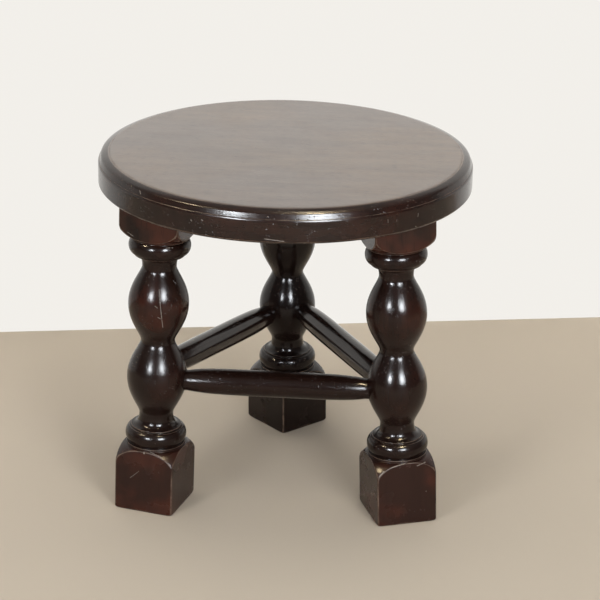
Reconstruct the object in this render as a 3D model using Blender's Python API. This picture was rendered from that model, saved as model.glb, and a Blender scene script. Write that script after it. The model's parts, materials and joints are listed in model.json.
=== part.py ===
"""Tripod stool: a round seat with a moulded edge on three turned legs, tied by three round stretchers.

Units are metres and +Z is up. The origin lies on the floor under the centre of the seat.
"""

import math

import bmesh
import bpy
from mathutils import Matrix, Vector
from mathutils.geometry import interpolate_bezier

# Seat: a round board whose plain band curves in to a shallow step, with a quarter round from there to the top
SEAT_DIAMETER = 0.3800
SEAT_THICKNESS = 0.0325
SEAT_EDGE_ROUND = 0.0102
SEAT_EDGE_STEP = 0.0004
SEAT_BAND_ROUND = 0.0070
SEAT_BAND_TURN = math.radians(35.0)
SEAT_UNDER_EASE = 0.0020

# Legs: each axis meets the seat this far in from the edge and leans out towards the floor
LEG_INSET = 0.0550
LEG_SPLAY = math.radians(1.85)
LEG_DIRECTIONS = {
    "left": math.radians(210.0),
    "right": math.radians(330.0),
    "back": math.radians(90.0),
}
# How far each leg was glued in turned about its own axis
LEG_TWISTS = {
    "left": math.radians(-0.7),
    "right": math.radians(4.4),
    "back": math.radians(-1.9),
}
# The frame has racked a little: how far each foot and each leg's top stand towards +X from their even places
FOOT_SHIFTS = {
    "left": -0.0004,
    "right": 0.0018,
    "back": -0.0017,
}
TOP_SHIFTS = {
    "left": -0.0026,
    "right": -0.0029,
    "back": -0.0065,
}

# Square blocks left at both ends of each turned leg, a diagonal pointing away from the seat's centre
BLOCK_WIDTH = 0.0635
BLOCK_ARRIS = 0.0016
FOOT_BLOCK_HEIGHT = 0.0548
TOP_BLOCK_HEIGHT = 0.0257
SHOULDER_RISE = 0.0125
SHOULDER_ROUNDNESS = 1.6

# Rings between a block and its bulb, listed from the block towards the waist
CROWN_SET_BACK = 0.0006
FILLET_HEIGHT = 0.0024
FILLET_SET_BACK = 0.0012
TORUS_HEIGHT = 0.0166
TORUS_DEPTH = 0.0055
TORUS_START = math.radians(-65.0)
TORUS_END = math.radians(75.0)
TURNING_ALLOWANCE = 0.0003
COLLAR_HEIGHT = 0.0018
COLLAR_SET_BACK = 0.0056
COVE_HEIGHT = 0.0128
COVE_LEDGE = 0.0063
COVE_STRAIGHT = 0.0085

# Bulbs: two egg shapes that meet at the waist
NECK_DIAMETER = 0.0350
WAIST_DIAMETER = 0.0346
BULB_DIAMETER = 0.0618
BULB_LENGTH = 0.0798
NECK_SOFTNESS = 0.0065
BULB_FULLNESS = 0.0200

# Stretchers: cigar shapes whose ends are tenons glued into the lower bulbs
STRETCHER_MIDDLE_DIAMETER = 0.0270
STRETCHER_END_DIAMETER = 0.0210
STRETCHER_FULLNESS = 0.0440
STRETCHER_END_TAPER = 0.0125
STRETCHER_END_SWELL = 0.63
TENON_RELIEF = 0.0010
TENON_DEPTH = 0.0200
STRETCHER_LEGS = {
    "front": ("left", "right"),
    "right": ("right", "back"),
    "left": ("back", "left"),
}
# How far above the bulb's middle each stretcher's hole is bored in its first and in its second leg
STRETCHER_OFFSETS = {
    "front": (-0.0028, -0.0032),
    "right": (-0.0086, 0.0002),
    "left": (-0.0051, 0.0005),
}
# How far round the legs from the side that faces the seat's centre the holes are bored
STRETCHER_BORINGS = {
    "front": math.radians(32.0),
    "right": math.radians(42.0),
    "left": math.radians(45.5),
}

# Dowels: two hidden pins between each top block and the seat
DOWEL_DIAMETER = 0.0100
DOWEL_SPACING = 0.0320
DOWEL_IN_LEG = 0.0220
DOWEL_IN_SEAT = 0.0180
PIN_CHAMFER = 0.0010

# Clearance at every glued joint, and how far cutters reach past what they cut
JOINT_GAP = 0.0003
CUTTER_MARGIN = 0.0100
SHOULDER_REACH = 1.15

# Facets
SEAT_SIDES = 64
LEG_SIDES = 24
STRETCHER_SIDES = 16
DOWEL_SIDES = 12
ARRIS_STEPS = 2
CURVE_POINTS = 6
STRETCHER_POINTS = 8
SHOULDER_STEPS = 5
TORUS_STEPS = 5
BAND_ROUND_STEPS = 3
EDGE_ROUND_STEPS = 6
WELD_DISTANCE = 0.000001
SHARP_ANGLE = math.radians(35.0)

# Finishes: colour, roughness
SEAT_FINISH = ((0.045, 0.026, 0.020, 1.0), 0.38)
LEG_FINISH = ((0.022, 0.011, 0.008, 1.0), 0.22)
STRETCHER_FINISH = ((0.024, 0.012, 0.009, 1.0), 0.25)
DOWEL_FINISH = ((0.420, 0.280, 0.160, 1.0), 0.60)

# Sizes that follow from the driving ones
RINGS_HEIGHT = FILLET_HEIGHT + TORUS_HEIGHT + COLLAR_HEIGHT + COVE_HEIGHT
TURNING_LENGTH = 2.0 * (RINGS_HEIGHT + BULB_LENGTH)
LOWER_CROWN = FOOT_BLOCK_HEIGHT + SHOULDER_RISE
UPPER_CROWN = LOWER_CROWN + TURNING_LENGTH
LEG_LENGTH = UPPER_CROWN + SHOULDER_RISE + TOP_BLOCK_HEIGHT
LEG_TOP = LEG_LENGTH * math.cos(LEG_SPLAY)
LEG_TOP_RADIUS = SEAT_DIAMETER / 2.0 - LEG_INSET
LEG_FLOOR_RADIUS = LEG_TOP_RADIUS + LEG_LENGTH * math.sin(LEG_SPLAY)
SEAT_UNDERSIDE = LEG_TOP + JOINT_GAP
SEAT_TOP = SEAT_UNDERSIDE + SEAT_THICKNESS
TORUS_RADIUS = BLOCK_WIDTH / 2.0 - TURNING_ALLOWANCE
LOWER_BULB_MIDDLE = LOWER_CROWN + RINGS_HEIGHT + BULB_LENGTH / 2.0


def clear_scene():
    """Start from an empty scene."""
    for obj in list(bpy.data.objects):
        bpy.data.objects.remove(obj, do_unlink=True)


def make_finish(name, colour, roughness):
    """A plain stained wood with the colour and gloss of one piece."""
    material = bpy.data.materials.new(name)
    material.use_nodes = True
    shader = material.node_tree.nodes["Principled BSDF"]
    shader.inputs["Base Color"].default_value = colour
    shader.inputs["Roughness"].default_value = roughness
    shader.inputs["Metallic"].default_value = 0.0
    return material


def add_piece(name, mesh, placing, finish):
    """Add one named piece of the stool."""
    piece = bpy.data.objects.new(name, mesh)
    bpy.context.collection.objects.link(piece)
    mesh.materials.append(make_finish(name, *finish))
    piece.parent = bpy.data.objects["stool"]
    piece.matrix_basis = placing
    return piece


def add_cutter(name, mesh, placing):
    """Add a helper shape that only cuts other pieces."""
    cutter = bpy.data.objects.new(name, mesh)
    bpy.context.collection.objects.link(cutter)
    cutter.hide_render = True
    cutter.display_type = "WIRE"
    cutter.parent = bpy.data.objects["stool"]
    cutter.matrix_basis = placing
    return cutter


def cut(piece, cutter, operation="DIFFERENCE"):
    """Add a Boolean that cuts a piece with a helper shape."""
    modifier = piece.modifiers.new(cutter.name, "BOOLEAN")
    modifier.operation = operation
    modifier.solver = "EXACT"
    modifier.object = cutter


def finish_mesh(name, shape):
    """Turn a bmesh into a mesh with smooth rounds and crisp arrises."""
    bmesh.ops.remove_doubles(shape, verts=shape.verts, dist=WELD_DISTANCE)
    bmesh.ops.recalc_face_normals(shape, faces=shape.faces)
    mesh = bpy.data.meshes.new(name)
    shape.to_mesh(mesh)
    shape.free()
    mesh.shade_smooth()
    mesh.set_sharp_from_angle(angle=SHARP_ANGLE)
    return mesh


def turn(name, profile, sides):
    """Turn a profile of (radius, height) points about the Z axis; both its ends lie on the axis."""
    shape = bmesh.new()
    points = [shape.verts.new((radius, 0.0, height)) for radius, height in profile]
    lines = [shape.edges.new(pair) for pair in zip(points, points[1:])]
    bmesh.ops.spin(
        shape,
        geom=points + lines,
        cent=(0.0, 0.0, 0.0),
        axis=(0.0, 0.0, 1.0),
        angle=math.tau,
        steps=sides,
        use_merge=True,
    )
    return finish_mesh(name, shape)


def bezier(start, start_handle, end_handle, end, points=CURVE_POINTS):
    """Points along one curve of a profile."""
    corners = [Vector(corner) for corner in (start, start_handle, end_handle, end)]
    return [tuple(point) for point in interpolate_bezier(*corners, points)]


def seat_profile():
    """Half section of the seat, from the underside's centre to the top's centre."""
    rim = SEAT_DIAMETER / 2.0
    round_base = SEAT_TOP - SEAT_EDGE_ROUND
    band_top = round_base - SEAT_BAND_ROUND * math.sin(SEAT_BAND_TURN)
    profile = [
        (0.0, SEAT_UNDERSIDE),
        (rim - SEAT_UNDER_EASE, SEAT_UNDERSIDE),
        (rim, SEAT_UNDERSIDE + SEAT_UNDER_EASE),
    ]
    for step in range(BAND_ROUND_STEPS + 1):
        angle = SEAT_BAND_TURN * step / BAND_ROUND_STEPS
        radius = rim - SEAT_BAND_ROUND * (1.0 - math.cos(angle))
        profile.append((radius, band_top + SEAT_BAND_ROUND * math.sin(angle)))
    round_centre = profile[-1][0] - SEAT_EDGE_STEP - SEAT_EDGE_ROUND
    for step in range(EDGE_ROUND_STEPS + 1):
        angle = math.pi / 2.0 * step / EDGE_ROUND_STEPS
        radius = round_centre + SEAT_EDGE_ROUND * math.cos(angle)
        profile.append((radius, round_base + SEAT_EDGE_ROUND * math.sin(angle)))
    profile.append((0.0, SEAT_TOP))
    return profile


def shoulder_profile():
    """Round shoulder from past the block's arris up to its crown, as (radius, height from the crown)."""
    crown = BLOCK_WIDTH / 2.0 - CROWN_SET_BACK
    arris = BLOCK_WIDTH / math.sqrt(2.0)
    profile = []
    for step in range(SHOULDER_STEPS + 1):
        reach = SHOULDER_REACH * (1.0 - step / SHOULDER_STEPS)
        radius = crown + (arris - crown) * reach
        profile.append((radius, -SHOULDER_RISE * reach**SHOULDER_ROUNDNESS))
    return profile


def rings_profile():
    """Fillet, torus, collar and cove between a crown and its neck, as (radius, height from the crown)."""
    fillet = TORUS_RADIUS - FILLET_SET_BACK
    torus_axis = TORUS_RADIUS - TORUS_DEPTH
    torus_middle = FILLET_HEIGHT + TORUS_HEIGHT / 2.0
    quirk = torus_axis + TORUS_DEPTH * math.cos(TORUS_START)
    collar_base = FILLET_HEIGHT + TORUS_HEIGHT
    collar_top = collar_base + COLLAR_HEIGHT
    collar = TORUS_RADIUS - COLLAR_SET_BACK
    neck = NECK_DIAMETER / 2.0
    neck_height = collar_top + COVE_HEIGHT
    profile = [(fillet, 0.0), (fillet, FILLET_HEIGHT), (quirk, FILLET_HEIGHT)]
    for step in range(TORUS_STEPS + 1):
        angle = TORUS_START + (TORUS_END - TORUS_START) * step / TORUS_STEPS
        radius = torus_axis + TORUS_DEPTH * math.cos(angle)
        profile.append((radius, torus_middle + TORUS_HEIGHT / 2.0 * math.sin(angle)))
    profile.append((collar, collar_base))
    profile += bezier(
        (collar, collar_top),
        (collar - COVE_LEDGE, collar_top),
        (neck, neck_height - COVE_STRAIGHT),
        (neck, neck_height),
    )
    return profile


def bulb_profile():
    """One bulb from above its neck to the waist, as (radius, height from the crown)."""
    neck = NECK_DIAMETER / 2.0
    waist = WAIST_DIAMETER / 2.0
    bulb = BULB_DIAMETER / 2.0
    start = RINGS_HEIGHT
    middle = start + BULB_LENGTH / 2.0
    end = start + BULB_LENGTH
    rising = bezier(
        (neck, start),
        (neck, start + NECK_SOFTNESS),
        (bulb, middle - BULB_FULLNESS),
        (bulb, middle),
    )
    falling = bezier(
        (bulb, middle),
        (bulb, middle + BULB_FULLNESS),
        (waist, end - NECK_SOFTNESS),
        (waist, end),
    )
    return rising[1:] + falling[1:]


def turning_profile():
    """The whole turned outline of a leg, wider than the square blank where the blocks stay square."""
    half = shoulder_profile() + rings_profile() + bulb_profile()
    lower = [(radius, LOWER_CROWN + height) for radius, height in half]
    upper = [(radius, UPPER_CROWN - height) for radius, height in reversed(half[:-1])]
    widest = half[0][0]
    below = -CUTTER_MARGIN
    above = LEG_LENGTH + CUTTER_MARGIN
    return [(0.0, below), (widest, below)] + lower + upper + [(widest, above), (0.0, above)]


def square_blank(name):
    """Square stock of one leg with eased arrises, its ends cut level with the floor and the seat."""
    reach = BLOCK_WIDTH / math.sqrt(2.0)
    angles = [LEG_TWISTS[name] + math.pi / 2.0 * corner for corner in range(4)]
    outline = [(reach * math.cos(angle), reach * math.sin(angle)) for angle in angles]
    lean_x, lean_y, upright, _ = leg_placing(name)[2]
    shape = bmesh.new()
    rings = []
    for level in (0.0, LEG_TOP):
        ring = []
        for x, y in outline:
            height = (level - x * lean_x - y * lean_y) / upright
            ring.append(shape.verts.new((x, y, height)))
        rings.append(ring)
    bottom, top = rings
    shape.faces.new(reversed(bottom))
    shape.faces.new(top)
    arrises = []
    for index, corner_point in enumerate(bottom):
        following = (index + 1) % len(outline)
        shape.faces.new((corner_point, bottom[following], top[following], top[index]))
        arrises.append(shape.edges.get((corner_point, top[index])))
    bmesh.ops.bevel(
        shape,
        geom=arrises,
        offset=BLOCK_ARRIS,
        segments=ARRIS_STEPS,
        profile=0.5,
        affect="EDGES",
    )
    return finish_mesh(f"leg_{name}", shape)


def leg_placing(name):
    """Stand a leg on its foot: Z up along its axis, X away from the seat's centre."""
    direction = LEG_DIRECTIONS[name]
    outward = Vector((math.cos(direction), math.sin(direction), 0.0))
    foot = outward * LEG_FLOOR_RADIUS + Vector((FOOT_SHIFTS[name], 0.0, 0.0))
    top = outward * LEG_TOP_RADIUS + Vector((TOP_SHIFTS[name], 0.0, LEG_TOP))
    upwards = (top - foot).normalized()
    across = upwards.cross(outward).normalized()
    turned = Matrix((across.cross(upwards), across, upwards)).transposed()
    return Matrix.Translation(foot) @ turned.to_4x4()


def socket_point(name, turn_in, offset):
    """Where a stretcher enters a leg's bulb, turned away from the side that faces the seat's centre."""
    angle = math.pi + turn_in
    radius = BULB_DIAMETER / 2.0
    point = Vector((radius * math.cos(angle), radius * math.sin(angle), LOWER_BULB_MIDDLE + offset))
    return leg_placing(name) @ point


def stretcher_profile(half_span, gap=0.0):
    """A stretcher from tenon to tenon, grown by a gap where it stands for its sockets."""
    middle = STRETCHER_MIDDLE_DIAMETER / 2.0 + gap
    end = STRETCHER_END_DIAMETER / 2.0 + gap
    tenon_end = half_span + TENON_DEPTH + gap
    taper_end = half_span - TENON_RELIEF
    swell = end + (middle - end) * STRETCHER_END_SWELL
    half = bezier(
        (middle, 0.0),
        (middle, half_span - STRETCHER_FULLNESS),
        (swell, taper_end - STRETCHER_END_TAPER),
        (end, taper_end),
        STRETCHER_POINTS,
    )
    half += [(end, tenon_end - PIN_CHAMFER), (end - PIN_CHAMFER, tenon_end), (0.0, tenon_end)]
    return [(radius, -height) for radius, height in reversed(half[1:])] + half


def dowel_profile(gap=0.0):
    """A dowel with chamfered ends, its height measured from the seat's underside."""
    radius = DOWEL_DIAMETER / 2.0 + gap
    low = -DOWEL_IN_LEG - gap
    high = DOWEL_IN_SEAT + gap
    return [
        (0.0, low),
        (radius - PIN_CHAMFER, low),
        (radius, low + PIN_CHAMFER),
        (radius, high - PIN_CHAMFER),
        (radius - PIN_CHAMFER, high),
        (0.0, high),
    ]


def build_seat():
    """The seat board, before its dowel holes."""
    return add_piece("seat", turn("seat", seat_profile(), SEAT_SIDES), Matrix.Identity(4), SEAT_FINISH)


def build_leg(name):
    """One leg: square stock turned down between its two blocks."""
    placing = leg_placing(name)
    leg = add_piece(f"leg_{name}", square_blank(name), placing, LEG_FINISH)
    turning = add_cutter(f"turning_{name}", turn(f"turning_{name}", turning_profile(), LEG_SIDES), placing)
    cut(leg, turning, "INTERSECT")
    return leg


def build_stretcher(name, legs):
    """One stretcher between two legs, with a socket for each of its tenons."""
    first, second = STRETCHER_LEGS[name]
    first_offset, second_offset = STRETCHER_OFFSETS[name]
    start = socket_point(first, -STRETCHER_BORINGS[name], first_offset)
    end = socket_point(second, STRETCHER_BORINGS[name], second_offset)
    half_span = (end - start).length / 2.0
    along = (end - start).to_track_quat("Z", "Y").to_matrix().to_4x4()
    placing = Matrix.Translation((start + end) / 2.0) @ along
    mesh = turn(f"stretcher_{name}", stretcher_profile(half_span), STRETCHER_SIDES)
    add_piece(f"stretcher_{name}", mesh, placing, STRETCHER_FINISH)
    grown = turn(f"sockets_{name}", stretcher_profile(half_span, JOINT_GAP), STRETCHER_SIDES)
    sockets = add_cutter(f"sockets_{name}", grown, placing)
    for leg in STRETCHER_LEGS[name]:
        cut(legs[leg], sockets)


def build_dowels(name, leg, seat):
    """The two dowels of one leg, side by side across its top block, with their holes."""
    for side, offset in (("a", DOWEL_SPACING / 2.0), ("b", -DOWEL_SPACING / 2.0)):
        turned = Matrix.Rotation(LEG_DIRECTIONS[name], 4, "Z")
        place = turned @ Matrix.Translation((LEG_TOP_RADIUS, offset, SEAT_UNDERSIDE))
        placing = Matrix.Translation((TOP_SHIFTS[name], 0.0, 0.0)) @ place
        dowel = f"dowel_{name}_{side}"
        add_piece(dowel, turn(dowel, dowel_profile(), DOWEL_SIDES), placing, DOWEL_FINISH)
        hole = f"hole_{name}_{side}"
        bore = add_cutter(hole, turn(hole, dowel_profile(JOINT_GAP), DOWEL_SIDES), placing)
        cut(leg, bore)
        cut(seat, bore)


def main():
    """Build the whole stool."""
    clear_scene()
    stool = bpy.data.objects.new("stool", None)
    bpy.context.collection.objects.link(stool)
    seat = build_seat()
    legs = {name: build_leg(name) for name in LEG_DIRECTIONS}
    for name in STRETCHER_LEGS:
        build_stretcher(name, legs)
    for name, leg in legs.items():
        build_dowels(name, leg, seat)


main()
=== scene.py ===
"""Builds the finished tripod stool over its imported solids: seat board, turned legs and stretchers.

Units are metres and +Z is up. The stool stands on the origin, with its back leg towards +Y.
"""

import json
import math

import bmesh
import bpy
import numpy as np
from mathutils import Matrix, Vector
from mathutils.geometry import interpolate_bezier
from mathutils.kdtree import KDTree


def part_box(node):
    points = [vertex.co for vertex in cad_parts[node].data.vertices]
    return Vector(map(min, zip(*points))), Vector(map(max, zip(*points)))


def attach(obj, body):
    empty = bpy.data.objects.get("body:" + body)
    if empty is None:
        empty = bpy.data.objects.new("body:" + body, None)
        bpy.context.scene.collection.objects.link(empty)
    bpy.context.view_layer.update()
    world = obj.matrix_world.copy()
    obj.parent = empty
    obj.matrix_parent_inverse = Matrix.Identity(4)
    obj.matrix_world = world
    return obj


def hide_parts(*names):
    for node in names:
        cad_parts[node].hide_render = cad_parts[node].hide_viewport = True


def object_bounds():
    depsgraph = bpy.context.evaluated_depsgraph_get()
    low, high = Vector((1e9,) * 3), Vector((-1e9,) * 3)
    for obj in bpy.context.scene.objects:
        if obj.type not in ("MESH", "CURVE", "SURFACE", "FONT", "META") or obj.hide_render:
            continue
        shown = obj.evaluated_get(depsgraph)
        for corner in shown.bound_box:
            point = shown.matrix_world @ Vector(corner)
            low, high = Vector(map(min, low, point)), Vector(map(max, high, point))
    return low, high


bl_info = {
    "name": "Tripod Stool",
    "version": (1, 0, 0),
    "blender": (4, 5, 0),
    "location": "View3D > Sidebar > Stool",
    "description": "Builds a dark stained stool on three turned legs over its packed solids",
    "category": "Object",
}

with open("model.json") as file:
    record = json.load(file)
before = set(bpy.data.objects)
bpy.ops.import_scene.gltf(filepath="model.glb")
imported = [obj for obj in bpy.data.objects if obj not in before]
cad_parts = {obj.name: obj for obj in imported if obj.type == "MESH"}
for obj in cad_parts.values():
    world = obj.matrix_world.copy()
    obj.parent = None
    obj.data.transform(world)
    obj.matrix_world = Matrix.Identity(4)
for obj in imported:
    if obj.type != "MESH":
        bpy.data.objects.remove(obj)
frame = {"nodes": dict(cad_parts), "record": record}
CAD_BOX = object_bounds()
SEAT_LOW, SEAT_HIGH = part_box("seat")
LEG_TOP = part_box("leg_left")[1].z
FEET = {
    mount["name"].removeprefix("foot_"): Vector(mount["pos_m"])
    for mount in frame["record"]["mounts"]
    if mount["name"].startswith("foot_")
}

# How each leg is turned about its own axis
LEG_TWISTS = {"left": math.radians(-0.7), "right": math.radians(4.4), "back": math.radians(-1.9)}

# Each stretcher's two legs, how far its holes are bored above the bulbs' middle there, and how far round the
# legs from the side that faces the seat's middle
STRETCHER_LEGS = {"front": ("left", "right"), "right": ("right", "back"), "left": ("back", "left")}
STRETCHER_OFFSETS = {"front": (-0.0028, -0.0032), "right": (-0.0086, 0.0002), "left": (-0.0051, 0.0005)}
STRETCHER_BORINGS = {"front": math.radians(32.0), "right": math.radians(42.0), "left": math.radians(45.5)}

# Scratches and chips as (start, end, width). Those of the legs are a crack down the left leg's upper bulb,
# drawn pale partly as a painted highlight, with two chips beside it, a rubbed spot on its upper block, a
# pale spot on its ring that is partly rubbed and partly a painted glint, scratches and a rubbed arc on its
# foot, and on the right foot a chip on its corner, drawn pale partly as a painted highlight, a rubbed arc
# and a rubbed patch
LEG_MARKS_AND_GLINTS = (
    ((-0.1185, -0.0940, 0.2440), (-0.1170, -0.0980, 0.2325), 0.0006),
    ((-0.1170, -0.0980, 0.2325), (-0.1155, -0.0995, 0.2190), 0.0007),
    ((-0.1155, -0.0995, 0.2190), (-0.1145, -0.0965, 0.2050), 0.0007),
    ((-0.1220, -0.0995, 0.2285), (-0.1195, -0.0995, 0.2265), 0.0006),
    ((-0.1190, -0.0995, 0.2165), (-0.1165, -0.0995, 0.2150), 0.0006),
    ((-0.1500, -0.0925, 0.3035), (-0.1440, -0.0945, 0.3000), 0.0005),
    ((-0.1110, -0.0965, 0.2895), (-0.1045, -0.0935, 0.2890), 0.0006),
    ((-0.1485, -0.0985, 0.0365), (-0.1410, -0.1010, 0.0440), 0.0004),
    ((-0.1455, -0.0995, 0.0390), (-0.1390, -0.1015, 0.0460), 0.0004),
    ((-0.1275, -0.1020, 0.0685), (-0.1135, -0.1065, 0.0645), 0.0006),
    ((0.1080, -0.1115, 0.0565), (0.1125, -0.1090, 0.0615), 0.0012),
    ((0.1195, -0.1075, 0.0650), (0.1335, -0.1015, 0.0680), 0.0006),
    ((0.1460, -0.0985, 0.0645), (0.1540, -0.0930, 0.0665), 0.0009),
)

# Those of the seat are a nick in its moulding, specks on the left of its band, chips along its lower edge
# and upright scuffs on the right
SEAT_MARKS = (
    ((-0.1320, -0.1320, 0.3610), (-0.1310, -0.1340, 0.3580), 0.0007),
    ((-0.0785, -0.1730, 0.3475), (-0.0775, -0.1735, 0.3470), 0.0010),
    ((-0.0680, -0.1775, 0.3495), (-0.0665, -0.1780, 0.3490), 0.0008),
    ((-0.0070, -0.1900, 0.3375), (0.0110, -0.1895, 0.3355), 0.0008),
    ((0.1075, -0.1565, 0.3500), (0.1078, -0.1565, 0.3465), 0.0004),
    ((0.1160, -0.1505, 0.3480), (0.1158, -0.1505, 0.3460), 0.0003),
    ((0.1360, -0.1330, 0.3490), (0.1358, -0.1330, 0.3455), 0.0004),
    ((0.1340, -0.1345, 0.3360), (0.1345, -0.1340, 0.3355), 0.0008),
)

# The side on which the marks lie, and how far their depth from it is pressed together
MARKED_SIDE = Vector((0.0, -0.93, 0.37)).normalized()
MARK_SQUEEZE = 0.97

# Facets
SEAT_SIDES = 256
FLAT_STEPS = 24
ARRIS_STEPS = 6
SHOULDER_STEPS = 12
BLOCK_STEPS = 14
EASE_STEPS = 4
SOFT_STEPS = 4
TORUS_STEPS = 20
CURVE_POINTS = 18
BAND_STEPS = 8
STRETCHER_RINGS = 121
STRETCHER_SIDES = 64
CUTTER_SIDES = 64

# Parts of the way out from the middle at which the seat's flat faces have a ring of points
FLAT_PARTS = (0.02, 0.30, 0.60, 0.85, 0.95, 0.985)

# Corners of a profile that turn more than SOFT_ANGLE are softened, over at most SOFT_SHARE of their sides
SOFT_ANGLE = math.radians(20.0)
SOFT_LIMIT = math.radians(150.0)
SOFT_SHARE = 0.45
TIP_SHARPNESS = 24.0

# Outward edges that turn more than ARRIS_ANGLE are worn, out to about ARRIS_REACH beside them
ARRIS_ANGLE = math.radians(11.0)
ARRIS_REACH = 0.0008
SHARP_ANGLE = math.radians(50.0)

# Where the finish changes: at the edge of the sitting face, at the ends of the turning, from neck to bulb,
# from the front of the seat's edge to its back, down the legs and stretchers, where painted shade darkens
# them low down, behind the front stretcher, and towards the back leg, where painted shade darkens it
TOP_FADE = 0.0008
TURNING_FADE = 0.0030
NECK_REACH = (0.0185, 0.0300)
HANDLED_EDGE = (-0.11, 0.03)
LOW_SHADE_REACH = (0.20, 0.14)
UNTOUCHED_REACH = (-0.06, -0.02)
BACK_SHADE_REACH = (0.0, 0.10)

# Where each pattern begins to show, and where it shows in full
FIGURE_RANGE = (0.36, 0.64)
PORE_RANGE = (0.60, 0.72)
WEAR_RANGE = (0.85, 1.35)
MARK_RANGE = (1.0, 0.6)
DUST_RANGE = (0.46, 0.62)
NIB_RANGE = (0.32, 0.0)
SMUDGE_RANGE = (0.35, 0.70)
PATCH_RANGE = (0.44, 0.70)
HUE_RANGE = (0.35, 0.65)

# Spots to a metre in the hue of the sitting face, in the rims of the marks, whose widths they change, and in
# the stretchers' turning
HUE_SCALE = 7.0
RAGGED_SCALE = 700.0
RAGGED_SPREAD = 1.6
RAGGED_START = -0.3
WANDER_SCALE = 55.0

# How strongly each of these shows in the finish
PORE_STAIN = 0.6
TOP_PORE_STAIN = 0.5
TOP_STREAK_STAIN = 0.25
TOP_STREAK_WAX = -0.25
# Painted shade that darkens the legs and stretchers low down, towards the floor
LOW_PAINTED_SHADE = 0.70
# How much darker the legs' rings and necks are, with less of it on the bulbs
NECK_DARKENING = 0.8
# Painted shade that darkens the back leg
BACK_PAINTED_SHADE = 0.9
FOOT_RED = 0.16
FOOT_PATCHES = 0.4
SIDE_WAX = 0.6
DUSTINESS = 0.6
BULB_DUSTINESS = 0.45
NIB_TINT = 0.35
# Marks are drawn in the speck colour; on the legs some of them are painted highlights and glints
MARK_TINT = 0.7
SMUDGE_ROUGHNESS = 0.06
FOOT_ROUGHNESS = 0.08
WORN_ROUGHNESS = 0.25
WAX_ROUGHNESS = 0.08

# Relief of the finish: its depth, and the height of each of these as a share of it
RELIEF_DEPTH = 0.0002
PORE_RELIEF = -0.25
FIGURE_RELIEF = 0.2
RIPPLE_RELIEF = 0.5
NIB_RELIEF = 8.0
RUBBED_RELIEF = -0.8

# Lamps as (name, bearing and height in degrees, distance, size, power, colour): glints show only in the
# polish, and fills light everything but leave no glint
DAYLIGHT = (1.0, 0.99, 0.98)
WINDOW_LIGHT = (0.90, 0.95, 1.0)
GLINTS = (
    ("left_window", -116.0, 18.0, 3.0, (0.50, 0.50), 90.0, WINDOW_LIGHT),
    ("right_window", -66.0, 20.0, 3.0, (0.85, 0.85), 147.0, WINDOW_LIGHT),
    ("ceiling_lamp", 65.0, 77.0, 2.6, (0.24, 0.16), 14.0, (1.0, 0.84, 0.58)),
    ("corner_lamp", -56.0, 66.0, 2.6, (0.34, 0.12), 90.0, (1.0, 0.80, 0.48)),
    ("side_lamp", -156.0, 47.0, 2.6, (0.18, 0.14), 45.0, (1.0, 0.80, 0.50)),
)
FILLS = (
    ("left_fill", -124.0, 17.0, 3.0, (0.80, 0.80), 32.0, DAYLIGHT),
    ("right_fill", -62.0, 20.0, 3.0, (1.00, 1.00), 52.0, DAYLIGHT),
    ("overhead_fill", -90.0, 80.0, 2.6, (2.20, 2.20), 22.0, (1.0, 0.97, 0.93)),
)

# The plain stage, and its light from all around, which grows from one height of the sky to another
STAGE_REACH = 6.0
STAGE_ROUGHNESS = 0.85
STAGE_MIRROR = 0.2
SENSOR_WIDTH = 36.0
SKY_COLOUR = (1.0, 0.98, 0.95)
SKY_HEIGHTS = (0.10, 1.0)
SKY_STRENGTHS = (0.12, 0.42)


def length(name, description, default):
    """A property that holds a length."""
    return bpy.props.FloatProperty(
        name=name, description=description, default=default, precision=4, subtype="DISTANCE", unit="LENGTH"
    )


def share(name, description, default, highest=1.0):
    """A property that holds a plain number from zero up."""
    return bpy.props.FloatProperty(name=name, description=description, default=default, min=0.0, max=highest)


def angle(name, description, degrees):
    """A property that holds an angle."""
    return bpy.props.FloatProperty(
        name=name, description=description, default=math.radians(degrees), subtype="ANGLE", unit="ROTATION"
    )


def colour(name, description, default):
    """A property that holds a colour."""
    return bpy.props.FloatVectorProperty(
        name=name, description=description, default=default, size=3, min=0.0, max=1.0, subtype="COLOR"
    )


class SeatSizes(bpy.types.PropertyGroup):
    """Sizes of the seat board."""

    diameter: length("Diameter", "Across the board", SEAT_HIGH.x - SEAT_LOW.x)
    top: length("Top", "Height of the sitting face", SEAT_HIGH.z)
    underside: length("Underside", "Height of the lower face", SEAT_LOW.z)
    edge_height: length("Edge height", "Height of the rounded moulding along the top edge", 0.0086)
    edge_width: length("Edge width", "Width of that moulding", 0.0103)
    edge_lean: angle("Edge lean", "How far the moulding leans in at its foot", 18.5)
    edge_flat: length("Edge flat", "How far the moulding runs straight above the step", 0.0048)
    edge_brink: angle("Edge brink", "Angle of the soft arris between moulding and sitting face", 14.0)
    edge_fullness: share("Edge fullness", "How full the moulding is above its flat", 0.55)
    edge_step: length("Edge step", "Width of the step under the moulding", 0.0003)
    band_round: length("Band round", "Radius of the curve from the band in to the step", 0.0060)
    band_turn: angle("Band turn", "How far the band turns in before the step", 31.0)
    under_ease: length("Under ease", "Worn ease of the lower edge", 0.0020)
    softness: length("Softness", "Rounding of the small corners", 0.0009)


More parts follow.
